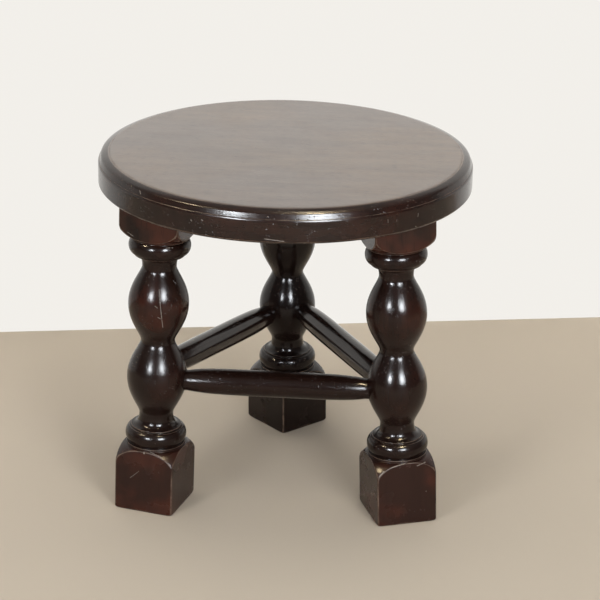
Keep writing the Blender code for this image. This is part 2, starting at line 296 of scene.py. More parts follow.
class LegSizes(bpy.types.PropertyGroup):
    """Sizes of one turned leg, from its foot to its top block."""

    block_width: length("Block width", "Width of the square blocks", 0.0635)
    arris: length("Arris", "Rounding of the blocks' upright arrises", 0.0016)
    foot_ease: length("Foot ease", "Worn ease around the underside of a foot", 0.0014)
    foot_tip_ease: length("Foot tip ease", "More of that ease at the foot's corners", 0.0018)
    foot_block: length("Foot block", "Height of the foot block at its arrises", 0.0548)
    shoulder_rise: length("Shoulder rise", "Height of the round shoulder", 0.0125)
    shoulder_roundness: share("Shoulder roundness", "How late the shoulder falls away", 1.6, 6.0)
    crown_set_back: length("Crown set-back", "Gap between the crown and the block's faces", 0.0006)
    fillet_height: length("Fillet height", "Height of the thin fillet", 0.0024)
    fillet_set_back: length("Fillet set-back", "How far the fillet lies inside the torus", 0.0012)
    torus_height: length("Torus height", "Height of the torus", 0.0166)
    torus_depth: length("Torus depth", "How far the torus bulges", 0.0055)
    torus_start: angle("Torus start", "Where the torus leaves the quirk", -65.0)
    torus_end: angle("Torus end", "Where the torus meets the collar", 75.0)
    turning_allowance: length("Turning allowance", "What the lathe takes off the square stock", 0.0003)
    collar_height: length("Collar height", "Height of the collar", 0.0018)
    collar_set_back: length("Collar set-back", "How far the collar lies inside the torus", 0.0056)
    cove_height: length("Cove height", "Height of the hollow cove", 0.0128)
    cove_ledge: length("Cove ledge", "How far the cove runs level under the collar", 0.0063)
    cove_straight: length("Cove straight", "How far the cove runs along the neck", 0.0085)
    neck_diameter: length("Neck diameter", "Across the neck", 0.0350)
    waist_diameter: length("Waist diameter", "Across the waist", 0.0346)
    bulb_diameter: length("Bulb diameter", "Across each bulb", 0.0618)
    bulb_length: length("Bulb length", "Length of each bulb", 0.0798)
    neck_softness: length("Neck softness", "How far a bulb follows its neck", 0.0065)
    bulb_fullness: length("Bulb fullness", "How far a bulb follows its middle", 0.0200)
    edge_softness: length("Edge softness", "Worn rounding where shoulder and block meet", 0.0006)
    tip_softness: length("Tip softness", "More of that rounding at the blocks' arrises", 0.0045)
    corner_softness: length("Corner softness", "Rounding of the turned corners", 0.0004)


class StretcherSizes(bpy.types.PropertyGroup):
    """Sizes of the stretchers and of the hidden joints."""

    middle_diameter: length("Middle diameter", "Across the middle of a stretcher", 0.0270)
    end_diameter: length("End diameter", "Across the tenons", 0.0210)
    fullness: share("Fullness", "How late a stretcher tapers", 5.4, 9.0)
    relief: length("Relief", "Gap between the taper's end and the bulb", 0.0010)
    tenon_depth: length("Tenon depth", "How deep a tenon sits in its bulb", 0.0200)
    joint_gap: length("Joint gap", "Glue gap around tenons and dowels", 0.0003)
    unevenness: length("Unevenness", "How far the turning wanders", 0.0002)


class FinishColours(bpy.types.PropertyGroup):
    """Colours and gloss of the stained wood and the bare dowels."""

    stain_dark: colour("Dark stain", "Deepest colour of the stained wood", (0.0095, 0.0045, 0.0034))
    stain_light: colour("Light stain", "Brown colour between the dark streaks", (0.030, 0.0122, 0.0082))
    stain_red: colour("Red stain", "Red-brown patches where the stain is thin", (0.062, 0.0160, 0.0090))
    # The sitting face's colours are lighter partly from rubbing and partly as a painted sheen of the light
    # it reflects
    top_warm_with_sheen: colour("Warm top", "Rubbed sitting face of the board where it is warm", (0.145, 0.088, 0.050))
    top_cool_with_sheen: colour("Cool top", "Rubbed sitting face of the board where it is grey", (0.120, 0.082, 0.064))
    worn_wood: colour("Worn wood", "Wood that shows where the stain is rubbed off", (0.120, 0.080, 0.058))
    # The speck colour also draws the marks, some of which are painted highlights on the legs
    speck_and_glint: colour("Specks", "Small pale specks on the lacquer", (0.260, 0.230, 0.200))
    bare_dark: colour("Dark bare wood", "Darker streaks of the unstained dowels", (0.42, 0.27, 0.15))
    bare_light: colour("Light bare wood", "Paler streaks of the unstained dowels", (0.56, 0.39, 0.23))
    bare_pores: colour("Bare pores", "Pores of the unstained dowels", (0.30, 0.18, 0.09))
    bare_roughness: share("Bare roughness", "Dullness of the unstained dowels", 0.62)
    top_roughness: share("Top roughness", "Satin of the sitting face", 0.30)
    gloss_roughness: share("Gloss roughness", "Gloss of the polished wood", 0.16)
    wear: share("Wear", "How much of the arrises is rubbed", 0.36)


class StageSettings(bpy.types.PropertyGroup):
    """Camera, floor and light."""

    camera_place: bpy.props.FloatVectorProperty(
        name="Camera place",
        description="Where the camera stands",
        default=(0.12742, -2.11013, 1.03859),
        size=3,
        subtype="TRANSLATION",
        unit="LENGTH",
    )
    camera_heading: angle("Camera heading", "Turn of the camera about the upright axis", 2.98)
    camera_pitch: angle("Camera pitch", "How far the camera looks down", 21.60)
    camera_roll: angle("Camera roll", "Tilt of the camera about its own axis", 1.26)
    camera_lens: share("Camera lens", "Focal length in millimetres on a 36 mm sensor", 130.97, 300.0)
    floor_colour: colour("Floor", "Colour of the plain floor", (0.520, 0.458, 0.376))
    backdrop_colour: colour("Backdrop", "Colour of the plain backdrop", (0.890, 0.866, 0.822))
    backdrop_distance: length("Backdrop distance", "From the stool's middle to the backdrop", 0.42)
    backdrop_turn: angle("Backdrop turn", "Turn of the backdrop about the upright axis", 10.0)
    backdrop_height: length("Backdrop height", "Height of the backdrop", 0.88)


def link_object(name, data):
    """Put a new object in the scene."""
    item = bpy.data.objects.new(name, data)
    bpy.context.scene.collection.objects.link(item)
    return item


class Signal:
    """What comes out of a node; signals are added, subtracted, multiplied and divided like numbers."""

    def __init__(self, tree, socket):
        self.tree = tree
        self.socket = socket

    def __add__(self, other):
        return calculate("ADD", self, other)

    def __sub__(self, other):
        return calculate("SUBTRACT", self, other)

    def __rsub__(self, other):
        return calculate("SUBTRACT", other, self)

    def __mul__(self, other):
        return calculate("MULTIPLY", self, other)

    def __truediv__(self, other):
        return calculate("DIVIDE", self, other)


def signals(tree, sockets):
    """All that comes out of a node, by name."""
    return {socket.name: Signal(tree, socket) for socket in sockets}


def home(*values):
    """The tree of the first signal among some values."""
    return next(value.tree for value in values if isinstance(value, Signal))


def feed(socket, value):
    """Link a socket to a signal, or set its own value."""
    if isinstance(value, Signal):
        value.tree.links.new(value.socket, socket)
    else:
        socket.default_value = value


def set_inputs(node, inputs):
    """Feed a node's inputs, by name or by number."""
    for name, value in inputs.items():
        feed(node.inputs[name], value)


def add_node(tree, kind, inputs, **settings):
    """Add a node with its settings and inputs."""
    node = tree.nodes.new(kind)
    for name, value in settings.items():
        setattr(node, name, value)
    set_inputs(node, inputs)
    return node


def tap(tree, kind, inputs=None, output=0, **settings):
    """Add a node and take one of its outputs."""
    return Signal(tree, add_node(tree, kind, inputs or {}, **settings).outputs[output])


def tap_all(tree, kind, inputs=None):
    """Add a node and take all of its outputs, by name."""
    return signals(tree, add_node(tree, kind, inputs or {}).outputs)


def calculate(operation, *values, clamp=False):
    """A math node's result."""
    inputs = dict(enumerate(values))
    return tap(home(*values), "ShaderNodeMath", inputs, operation=operation, use_clamp=clamp)


def calculate_vector(operation, *values, result="Vector"):
    """A vector math node's result."""
    inputs = dict(enumerate(values))
    return tap(home(*values), "ShaderNodeVectorMath", inputs, result, operation=operation)


def scale_vector(vector, factor):
    """A vector made longer or shorter."""
    return tap(factor.tree, "ShaderNodeVectorMath", {0: vector, "Scale": factor}, operation="SCALE")


def split(vector):
    """A vector's X, Y and Z."""
    return tap_all(vector.tree, "ShaderNodeSeparateXYZ", {"Vector": vector})


def ramp(value, low, high, start=0.0, end=1.0):
    """A value carried smoothly from one range to another."""
    inputs = dict(enumerate((value, low, high, start, end)))
    return tap(value.tree, "ShaderNodeMapRange", inputs, interpolation_type="SMOOTHSTEP")


def noise(place, scale, detail=2.0, roughness=0.5, distortion=0.0):
    """A noise texture's value."""
    inputs = {"Vector": place, "Scale": scale, "Detail": detail}
    inputs |= {"Roughness": roughness, "Distortion": distortion}
    return tap(place.tree, "ShaderNodeTexNoise", inputs, "Fac")


def cell_pattern(place, scale):
    """Scattered cells: the distance to a cell's middle, and two random numbers for each cell."""
    cells = tap_all(place.tree, "ShaderNodeTexVoronoi", {"Vector": place, "Scale": scale})
    chances = tap_all(place.tree, "ShaderNodeSeparateColor", {"Color": cells["Color"]})
    return cells["Distance"], chances["Red"], chances["Green"]


def opaque(tint):
    """A colour with its alpha."""
    return (*tint, 1.0)


def blend(amount, first, second):
    """A mix of two colours."""
    node = add_node(amount.tree, "ShaderNodeMix", {"Factor": amount}, data_type="RGBA")
    colours = [socket for socket in node.inputs if socket.type == "RGBA"]
    for socket, value in zip(colours, (first, second)):
        feed(socket, value if isinstance(value, Signal) else opaque(value))
    return Signal(amount.tree, next(socket for socket in node.outputs if socket.type == "RGBA"))


def new_group(name, inputs, outputs, kind="ShaderNodeTree", output_type="Float"):
    """A node group with named sockets, whose inputs are given by a number or else by their type.

    It comes with what enters it and the sockets by which its results leave.
    """
    tree = bpy.data.node_groups.new(name, kind)
    for title, value in inputs.items():
        is_number = isinstance(value, float)
        socket_type = "NodeSocketFloat" if is_number else f"NodeSocket{value}"
        socket = tree.interface.new_socket(title, in_out="INPUT", socket_type=socket_type)
        if is_number:
            socket.default_value = value
    for title in outputs:
        tree.interface.new_socket(title, in_out="OUTPUT", socket_type=f"NodeSocket{output_type}")
    entry = signals(tree, tree.nodes.new("NodeGroupInput").outputs)
    return tree, entry, tree.nodes.new("NodeGroupOutput").inputs


def make_figure_group(name):
    """Streaks and pores of the wood, drawn out along the grain."""
    inputs = {"Grain": "Vector", "Streaks": 60.0, "Pores": 500.0, "Stretch": 0.06}
    broad_streaks = {"Broad Scale": 0.35, "Broad Share": 0.6}
    tree, entry, leave = new_group(name, {**inputs, **broad_streaks}, ("Figure", "Pores"))
    along = tap(tree, "ShaderNodeCombineXYZ", {"X": 1.0, "Y": 1.0, "Z": entry["Stretch"]})
    drawn = calculate_vector("MULTIPLY", entry["Grain"], along)
    broad = noise(drawn, entry["Streaks"] * entry["Broad Scale"], distortion=0.6)
    fine = noise(drawn, entry["Streaks"], 5.0, 0.62, 0.3)
    figure = broad * entry["Broad Share"] + fine * (1.0 - entry["Broad Share"])
    feed(leave["Figure"], ramp(figure, *FIGURE_RANGE))
    feed(leave["Pores"], ramp(noise(drawn, entry["Pores"], 1.0, 0.4), *PORE_RANGE))
    return tree


def make_wear_group(name):
    """Rubbed arrises, broken up by noise."""
    inputs = {"Place": "Vector", "Amount": 0.5, "Patches": 45.0, "Nicks": 420.0}
    strengths = {"Patch Strength": 1.1, "Nick Strength": 0.5}
    tree, entry, leave = new_group(name, {**inputs, **strengths}, ("Wear",))
    arris = tap(tree, "ShaderNodeAttribute", output="Fac", attribute_name="arris")
    patches = noise(entry["Place"], entry["Patches"], 3.0, 0.6)
    nicks = noise(entry["Place"], entry["Nicks"], 2.0, 0.6)
    rubbed = patches * entry["Patch Strength"] + nicks * entry["Nick Strength"]
    feed(leave["Wear"], ramp(arris * (rubbed + entry["Amount"]), *WEAR_RANGE))
    return tree


def make_specks_group(name):
    """Small scattered specks and nicks on the lacquer."""
    inputs = {"Place": "Vector", "Spread": 120.0, "Share": 0.1, "Least Size": 0.02, "More Size": 0.10}
    tree, entry, leave = new_group(name, inputs, ("Specks",))
    distance, chance, size = cell_pattern(entry["Place"], entry["Spread"])
    chosen = calculate("LESS_THAN", chance, entry["Share"])
    size = size * entry["More Size"] + entry["Least Size"]
    feed(leave["Specks"], chosen * calculate("LESS_THAN", distance, size))
    return tree


def make_mark_group(name):
    """One mark along a straight line between two points: a scratch, a chip or a painted highlight."""
    inputs = {"Place": "Vector", "From": "Vector", "To": "Vector", "Reach": 0.001}
    tree, entry, leave = new_group(name, inputs, ("Mark",))
    line = calculate_vector("SUBTRACT", entry["To"], entry["From"])
    offset = calculate_vector("SUBTRACT", entry["Place"], entry["From"])
    run = calculate_vector("DOT_PRODUCT", offset, line, result="Value")
    full = calculate_vector("DOT_PRODUCT", line, line, result="Value")
    along = calculate("DIVIDE", run, full, clamp=True)
    gap = calculate_vector("DISTANCE", offset, scale_vector(line, along), result="Value")
    feed(leave["Mark"], ramp(gap / entry["Reach"], *MARK_RANGE))
    return tree


def make_lacquer_group(name):
    """Ripples, grit and dust nibs of the lacquer, smudges in its gloss and patches of thin stain."""
    scales = {"Ripple": 180.0, "Grit": 1100.0, "Smudge": 22.0, "Patches": 24.0, "Nibs": 360.0}
    inputs = {"Place": "Vector", **scales, "Dust": 40.0, "Dust Share": 0.7}
    tree, entry, leave = new_group(name, inputs, scales)
    place = entry["Place"]
    distance, chance, _ = cell_pattern(place, entry["Nibs"])
    dust = ramp(noise(place, entry["Dust"]), *DUST_RANGE)
    raised = calculate("LESS_THAN", chance, dust * entry["Dust Share"])
    feed(leave["Nibs"], raised * ramp(distance, *NIB_RANGE))
    feed(leave["Ripple"], noise(place, entry["Ripple"]))
    feed(leave["Grit"], noise(place, entry["Grit"], 1.0))
    feed(leave["Smudge"], ramp(noise(place, entry["Smudge"], 4.0, 0.6), *SMUDGE_RANGE))
    feed(leave["Patches"], ramp(noise(place, entry["Patches"], 3.0, 0.55), *PATCH_RANGE))
    return tree


GROUP_MAKERS = {
    "wood_figure": make_figure_group,
    "worn_arris": make_wear_group,
    "scattered_specks": make_specks_group,
    "scratch_and_glint_mark": make_mark_group,
    "lacquer_skin": make_lacquer_group,
}


def place_group(tree, name, inputs):
    """Put a shared node group into a material; it is built the first time it is asked for."""
    node = tree.nodes.new("ShaderNodeGroup")
    node.node_tree = bpy.data.node_groups.get(name) or GROUP_MAKERS[name](name)
    set_inputs(node, inputs)
    return signals(tree, node.outputs)


def new_material(name):
    """A material with its tree and its shader."""
    material = bpy.data.materials.new(name)
    material.use_nodes = True
    return material, material.node_tree, material.node_tree.nodes["Principled BSDF"]


def squeeze(point):
    """A point with its depth pressed together, so that a mark clings to a curved face."""
    point = Vector(point)
    return point - MARKED_SIDE * point.dot(MARKED_SIDE) * MARK_SQUEEZE


def add_marks(place, marks):
    """The marks of one material as a single mask: scratches and chips, and on the legs also painted
    highlights.
    """
    depth = calculate_vector("DOT_PRODUCT", place, MARKED_SIDE, result="Value")
    flat = calculate_vector("SUBTRACT", place, scale_vector(MARKED_SIDE, depth * MARK_SQUEEZE))
    ragged = noise(place, RAGGED_SCALE, 3.0, 0.6) * RAGGED_SPREAD + RAGGED_START
    total = 0.0
    for start, end, width in marks:
        inputs = {"Place": flat, "From": squeeze(start), "To": squeeze(end), "Reach": ragged * width}
        mark = place_group(place.tree, "scratch_and_glint_mark", inputs)["Mark"]
        total = calculate("MAXIMUM", mark, total)
    return total


def stain_turning(finish, tint, skin, grain, turning, rings):
    """A leg's rings and necks, darker than its bulbs, and its ruddier feet.

    The turning runs between two heights along the leg, and its rings take up some height at both ends. What
    comes back is the colour, where the foot is, and how dusty the lacquer is.
    """
    low_end, high_end = turning
    across = calculate_vector("MULTIPLY", grain, (1.0, 1.0, 0.0))
    radius = calculate_vector("LENGTH", across, result="Value")
    along = split(grain)["Z"]
    from_middle = calculate("ABSOLUTE", along - (low_end + high_end) / 2.0)
    bulbs_end = (high_end - low_end) / 2.0 - rings
    in_rings = ramp(from_middle, bulbs_end - TURNING_FADE, bulbs_end + TURNING_FADE)
    on_foot = ramp(along, low_end - TURNING_FADE, low_end + TURNING_FADE, 1.0, 0.0)
    on_blocks = on_foot + ramp(along, high_end - TURNING_FADE, high_end)
    dusty = calculate("MAXIMUM", ramp(radius, *NECK_REACH, 1.0, BULB_DUSTINESS), in_rings)
    dusty = dusty * (1.0 - on_blocks)
    # Rings and necks are darker, and the bulbs less so
    tint = blend(dusty * NECK_DARKENING, tint, finish.stain_dark)
    tint = blend(on_foot * (skin["Patches"] * FOOT_PATCHES + FOOT_RED), tint, finish.stain_red)
    return tint, on_foot, dusty


def wax_top(finish, tint, wood, place, on_top):
    """The seat's waxed and rubbed sitting face, lighter partly from rubbing and partly as a painted sheen:
    the colour, and how much wax lies on the board.
    """
    hue = ramp(noise(place, HUE_SCALE), *HUE_RANGE)
    dark = wood["Figure"] * -TOP_STREAK_STAIN + TOP_STREAK_STAIN
    streaks = calculate("ADD", wood["Pores"] * TOP_PORE_STAIN, dark, clamp=True)
    rubbed_top_and_sheen = blend(streaks, blend(hue, finish.top_cool_with_sheen, finish.top_warm_with_sheen), finish.stain_dark)
    on_edge = ramp(split(place)["Y"], *HANDLED_EDGE, 0.0, SIDE_WAX)
    waxed = calculate("MAXIMUM", on_top, on_edge) * (streaks * TOP_STREAK_WAX + 1.0)
    return blend(on_top, tint, rubbed_top_and_sheen), waxed


def make_stained_wood(
    name,
    figure,
    specks,
    bump,
    grit,
    brown,
    red,
    rougher,
    mirror,
    marks=(),
    top=None,
    turning=None,
    rings=0.0,
):
    """Dark stained and polished wood: its figure, rubbed arrises, specks and scratches.

    A seat has a waxed top at a given height, lighter partly from rubbing and partly as a painted sheen, and
    a leg has its turning between two heights, with painted shade on the back leg. Legs and stretchers get
    painted shade low down, and the stretchers kept their wax behind the front one.
    """
    finish = bpy.context.scene.stool_finish
    material, tree, shader = new_material(name)
    grain = tap(tree, "ShaderNodeAttribute", output="Vector", attribute_name="grain")
    place = tap(tree, "ShaderNodeTexCoord", output="Object")
    parts = split(place)
    wood = place_group(tree, "wood_figure", {"Grain": grain, **figure})
    skin = place_group(tree, "lacquer_skin", {"Place": place})
    wear = place_group(tree, "worn_arris", {"Place": place, "Amount": finish.wear})["Wear"]
    dots = place_group(tree, "scattered_specks", {"Place": place, **specks})["Specks"]
    dusty = DUSTINESS
    tint = blend(wood["Figure"] * brown, finish.stain_dark, finish.stain_light)
    tint = blend(skin["Patches"] * red, tint, finish.stain_red)
    tint = blend(wood["Pores"] * PORE_STAIN, tint, finish.stain_dark)
    smudged = skin["Smudge"] * SMUDGE_ROUGHNESS
    gloss = smudged + (finish.gloss_roughness + rougher)
    if top is None:
        # Painted shade: legs and stretchers are darker low down, towards the floor
        tint = blend(ramp(parts["Z"], *LOW_SHADE_REACH) * LOW_PAINTED_SHADE, tint, finish.stain_dark)
        waxed = 0.0 if turning else ramp(parts["Y"], *UNTOUCHED_REACH, 0.0, SIDE_WAX)
    else:
        on_top = ramp(parts["Z"], top - TOP_FADE, top)
        # The sitting face is lighter, partly from rubbing and partly as a painted sheen
        tint, waxed = wax_top(finish, tint, wood, place, on_top)
        gloss = gloss + (smudged + finish.top_roughness - gloss) * on_top
        dots = dots * (1.0 - on_top)
    if turning:
        tint, on_foot, dusty = stain_turning(finish, tint, skin, grain, turning, rings)
        # Painted shade: the back leg is darker, away from the front
        tint = blend(ramp(parts["Y"], *BACK_SHADE_REACH) * BACK_PAINTED_SHADE, tint, finish.stain_dark)
        gloss = gloss + on_foot * FOOT_ROUGHNESS
    tint = blend(wear, tint, finish.worn_wood)
    tint = blend(dots, tint, finish.speck_and_glint)
    nibs = skin["Nibs"] * dusty
    tint = blend(nibs * NIB_TINT, tint, finish.worn_wood)
    rubbed = calculate("MAXIMUM", wear, dots)
    if marks:
        # The legs' marks include painted highlights and glints, drawn pale
        scratches_and_glints = add_marks(place, marks)
        tint = blend(scratches_and_glints * MARK_TINT, tint, finish.speck_and_glint)
        rubbed = calculate("MAXIMUM", rubbed, scratches_and_glints)
    height = wood["Pores"] * PORE_RELIEF + wood["Figure"] * FIGURE_RELIEF + skin["Ripple"] * RIPPLE_RELIEF
    height = height + skin["Grit"] * grit + nibs * NIB_RELIEF + rubbed * RUBBED_RELIEF
    relief = {"Strength": bump, "Distance": RELIEF_DEPTH, "Height": height}
    looks = {
        "Base Color": tint,
        "Roughness": gloss + rubbed * WORN_ROUGHNESS,
        "Specular IOR Level": mirror,
        "Coat Weight": (1.0 - rubbed) * waxed,
        "Coat Roughness": WAX_ROUGHNESS,
        "Normal": tap(tree, "ShaderNodeBump", relief),
    }
    set_inputs(shader, looks)
    return material


def make_bare_wood(name):
    """Pale unstained hardwood of the hidden dowels."""
    finish = bpy.context.scene.stool_finish
    material, tree, shader = new_material(name)
    place = tap(tree, "ShaderNodeTexCoord", output="Object")
    wood = place_group(tree, "wood_figure", {"Grain": place, "Streaks": 300.0, "Pores": 1400.0})
    tint = blend(wood["Figure"], finish.bare_dark, finish.bare_light)
    relief = {"Strength": 0.4, "Distance": RELIEF_DEPTH, "Height": wood["Pores"]}
    looks = {
        "Base Color": blend(wood["Pores"], tint, finish.bare_pores),
        "Roughness": finish.bare_roughness,
        "Normal": tap(tree, "ShaderNodeBump", relief),
    }
    set_inputs(shader, looks)
    return material


def soften(points, radius):
    """Round every corner of a profile that turns more than SOFT_ANGLE."""
    points = [Vector(point) for point in points]
    rounded = [points[0]]
    for before, corner, after in zip(points, points[1:], points[2:]):
        into = corner - before
        out = after - corner
        turn = into.angle(out)
        if turn < SOFT_ANGLE:
            rounded.append(corner)
            continue
        reach = radius * math.tan(min(turn, SOFT_LIMIT) / 2.0)
        reach = min(reach, into.length * SOFT_SHARE, out.length * SOFT_SHARE)
        start = corner - into.normalized() * reach
        end = corner + out.normalized() * reach
        for step in range(SOFT_STEPS + 1):
            share_done = step / SOFT_STEPS
            first = start.lerp(corner, share_done)
            rounded.append(first.lerp(corner.lerp(end, share_done), share_done))
    rounded.append(points[-1])
    return rounded


def bezier(start, start_handle, end_handle, end, points=CURVE_POINTS):
    """Points along one curve of a profile."""
    corners = [Vector(corner) for corner in (start, start_handle, end_handle, end)]
    return [tuple(point) for point in interpolate_bezier(*corners, points)]


def mesh_from_rows(name, rows):
    """A closed mesh from rows of points, each a ring around the piece, from bottom to top."""
    count = len(rows[0])
    points = np.concatenate(rows)
    faces = [tuple(reversed(range(count)))]
    for row in range(len(rows) - 1):
        low = row * count
        high = low + count
        for index in range(count):
            following = (index + 1) % count
            faces.append((low + index, low + following, high + following, high + index))
    faces.append(tuple(range(len(points) - count, len(points))))
    mesh = bpy.data.meshes.new(name)
    mesh.from_pydata(points.tolist(), [], faces)
    mesh.shade_smooth()
    return mesh


def turn_rows(profile, bearings):
    """Rings about the Z axis of a profile of (radius, height), which may differ from bearing to bearing."""
    level = np.ones_like(bearings)
    return [
        np.stack([radius * np.cos(bearings), radius * np.sin(bearings), height * level], axis=1)
        for radius, height in profile
    ]


def mark_arrises(mesh):
    """Store how close each point lies to a sharp outward edge, for the wear."""
    shape = bmesh.new()
    shape.from_mesh(mesh)
    sharp = set()
    for edge in shape.edges:
        if edge.is_manifold and edge.calc_face_angle_signed() > ARRIS_ANGLE:
            sharp.update(vertex.index for vertex in edge.verts)
    shape.verts.ensure_lookup_table()
    tree = KDTree(len(sharp))
    for index in sharp:
        tree.insert(shape.verts[index].co, index)
    tree.balance()
    values = [0.0] * len(shape.verts)
    if sharp:
        values = [math.exp(-tree.find(vertex.co)[2] / ARRIS_REACH) for vertex in shape.verts]
    shape.free()
    mesh.attributes.new("arris", "FLOAT", "POINT").data.foreach_set("value", values)


def store_grain(mesh, placing):
    """Store each point's place in the board the piece was made from, whose grain runs along its Z axis."""
    inverse = placing.inverted()
    values = [value for vertex in mesh.vertices for value in inverse @ vertex.co]
    mesh.attributes.new("grain", "FLOAT_VECTOR", "POINT").data.foreach_set("vector", values)


def line_placing(start, end):
    """Axes in the middle between two points, with Z along the line."""
    along = (end - start).to_track_quat("Z", "Y").to_matrix().to_4x4()
    return Matrix.Translation((start + end) / 2.0) @ along


def pin_mesh(name, start, end, radius):
    """A plain round pin between two points, which cuts a socket or a dowel hole."""
    shape = bmesh.new()
    bmesh.ops.create_cone(
        shape,
        cap_ends=True,
        segments=CUTTER_SIDES,
        radius1=radius,
        radius2=radius,
        depth=(end - start).length,
        matrix=line_placing(start, end),
    )
    mesh = bpy.data.meshes.new(name)
    shape.to_mesh(mesh)
    shape.free()
    return mesh


def cut_out(mesh, pins):
    """A mesh with a round hole for each pin."""
    piece = link_object(mesh.name, mesh)
    helpers = [link_object(f"{mesh.name}_pin", pin) for pin in pins]
    for helper in helpers:
        modifier = piece.modifiers.new("hole", "BOOLEAN")
        modifier.operation = "DIFFERENCE"
        modifier.solver = "EXACT"
        modifier.object = helper
    graph = bpy.context.evaluated_depsgraph_get()
    hollow = bpy.data.meshes.new_from_object(piece.evaluated_get(graph))
    for item in [piece, *helpers]:
        bpy.data.objects.remove(item, do_unlink=True)
    hollow.shade_smooth()
    hollow.set_sharp_from_angle(angle=SHARP_ANGLE)
    return hollow


def dress_piece(name, mesh, material, node):
    """Put a finished piece in the place of its solid."""
    mesh.name = name
    mesh.materials.clear()
    mesh.materials.append(material)
    piece = link_object(name, mesh)
    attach(piece, "root")
    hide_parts(node)


def leg_placing(name):
    """Where a leg's own axes stand: Z up along the leg, X away from the seat's middle."""
    first, second = (dowel_ends(f"dowel_{name}_{letter}")[0] for letter in "ab")
    spread = first - second
    outward = Vector((spread.y, -spread.x, 0.0)).normalized()
    top = (first + second) / 2.0
    upwards = (Vector((top.x, top.y, LEG_TOP)) - FEET[name]).normalized()
    across = upwards.cross(outward).normalized()
    turned = Matrix((across.cross(upwards), across, upwards)).transposed()
    return Matrix.Translation(FEET[name]) @ turned.to_4x4()


def ring_stack(leg):
    """Height of all the rings between a crown and its bulb."""
    return leg.fillet_height + leg.torus_height + leg.collar_height + leg.cove_height


def leg_heights(leg):
    """Heights along a leg of its lower crown, its lower bulb's middle and its upper crown."""
    lower_crown = leg.foot_block + leg.shoulder_rise
    bulb_middle = lower_crown + ring_stack(leg) + leg.bulb_length / 2.0
    return lower_crown, bulb_middle, lower_crown + 2.0 * (ring_stack(leg) + leg.bulb_length)


def half_turning(leg):
    """The turned outline from a crown to the waist, as (radius, distance from the crown)."""
    half = leg.block_width / 2.0
    crown = half - leg.crown_set_back
    torus = half - leg.turning_allowance
    fillet = torus - leg.fillet_set_back
    collar = torus - leg.collar_set_back
    axis = torus - leg.torus_depth
    neck = leg.neck_diameter / 2.0
    waist = leg.waist_diameter / 2.0
    bulb = leg.bulb_diameter / 2.0
    torus_middle = leg.fillet_height + leg.torus_height / 2.0
    collar_base = leg.fillet_height + leg.torus_height
    collar_top = collar_base + leg.collar_height
    neck_at = collar_top + leg.cove_height
    bulb_at = neck_at + leg.bulb_length / 2.0
    waist_at = neck_at + leg.bulb_length
    quirk = axis + leg.torus_depth * math.cos(leg.torus_start)
    outline = [(crown, 0.0), (fillet, 0.0), (fillet, leg.fillet_height), (quirk, leg.fillet_height)]
    for bend in np.linspace(leg.torus_start, leg.torus_end, TORUS_STEPS):
        radius = axis + leg.torus_depth * math.cos(bend)
        outline.append((radius, torus_middle + leg.torus_height / 2.0 * math.sin(bend)))
    outline.append((collar, collar_base))
    outline += bezier(
        (collar, collar_top),
        (collar - leg.cove_ledge, collar_top),
        (neck, neck_at - leg.cove_straight),
        (neck, neck_at),
    )
    rise = bezier(
        (neck, neck_at),
        (neck, neck_at + leg.neck_softness),
        (bulb, bulb_at - leg.bulb_fullness),
        (bulb, bulb_at),
    )
    fall = bezier(
        (bulb, bulb_at),
        (bulb, bulb_at + leg.bulb_fullness),
        (waist, waist_at - leg.neck_softness),
        (waist, waist_at),
    )
    return soften(outline + rise[1:] + fall[1:], leg.corner_softness)


def block_outline(leg):
    """Bearings and distances from the axis of the points around a square block with rounded arrises."""
    half = leg.block_width / 2.0
    corner = half - leg.arris
    flats = corner * np.sin(np.linspace(-math.pi / 2.0, math.pi / 2.0, FLAT_STEPS + 1))
    quarter = [(math.atan2(flat, half), math.hypot(flat, half)) for flat in flats]
    for bend in np.linspace(0.0, math.pi / 2.0, ARRIS_STEPS + 1)[1:-1]:
        x = corner + leg.arris * math.cos(bend)
        y = corner + leg.arris * math.sin(bend)
        quarter.append((math.atan2(y, x), math.hypot(x, y)))
    turns = [math.pi / 4.0 + math.pi / 2.0 * side for side in range(4)]
    bearings = np.array([turn + bearing for turn in turns for bearing, _ in quarter])
    distances = np.array([distance for _ in turns for _, distance in quarter])
    return bearings, distances


def tip_share(block):
    """How near each point around a block is to its arrises, from 0 to 1."""
    return (block / block.max()) ** TIP_SHARPNESS


def block_rows(leg, block, end, ease):
    """Rings from a crown to the end of its block, as (distances from the axis, distances past the crown)."""
    crown = leg.block_width / 2.0 - leg.crown_set_back
    spread = leg.block_width / math.sqrt(2.0) - crown
    meet = (block - crown) / spread
    edge = leg.shoulder_rise * meet**leg.shoulder_roundness
    slope = leg.shoulder_rise * leg.shoulder_roundness * meet ** (leg.shoulder_roundness - 1.0)
    steepness = np.hypot(spread, slope)
    near_tip = tip_share(block)
    soft = np.minimum(leg.edge_softness + leg.tip_softness * near_tip, SOFT_SHARE * meet * steepness)
    last = meet - soft / steepness
    rows = []
    for step in range(SHOULDER_STEPS + 1):
        reach = last * step / SHOULDER_STEPS
        rows.append((crown + spread * reach, leg.shoulder_rise * reach**leg.shoulder_roundness))
    shoulder_end, shoulder_depth = rows[-1]
    for step in range(1, SOFT_STEPS + 1):
        done = step / SOFT_STEPS
        near, middle, far = (1.0 - done) ** 2, 2.0 * done * (1.0 - done), done**2
        distance = near * shoulder_end + (middle + far) * block
        rows.append((distance, near * shoulder_depth + middle * edge + far * (edge + soft)))
    start = edge + soft
    stop = end(block) - ease
    for step in range(1, BLOCK_STEPS + 1):
        rows.append((block, start + (stop - start) * step / BLOCK_STEPS))
    for bend in np.linspace(0.0, math.pi / 2.0, EASE_STEPS + 1)[1:]:
        inner = block - ease + ease * math.cos(bend)
        rows.append((inner, end(inner) - ease + ease * math.sin(bend)))
    return rows


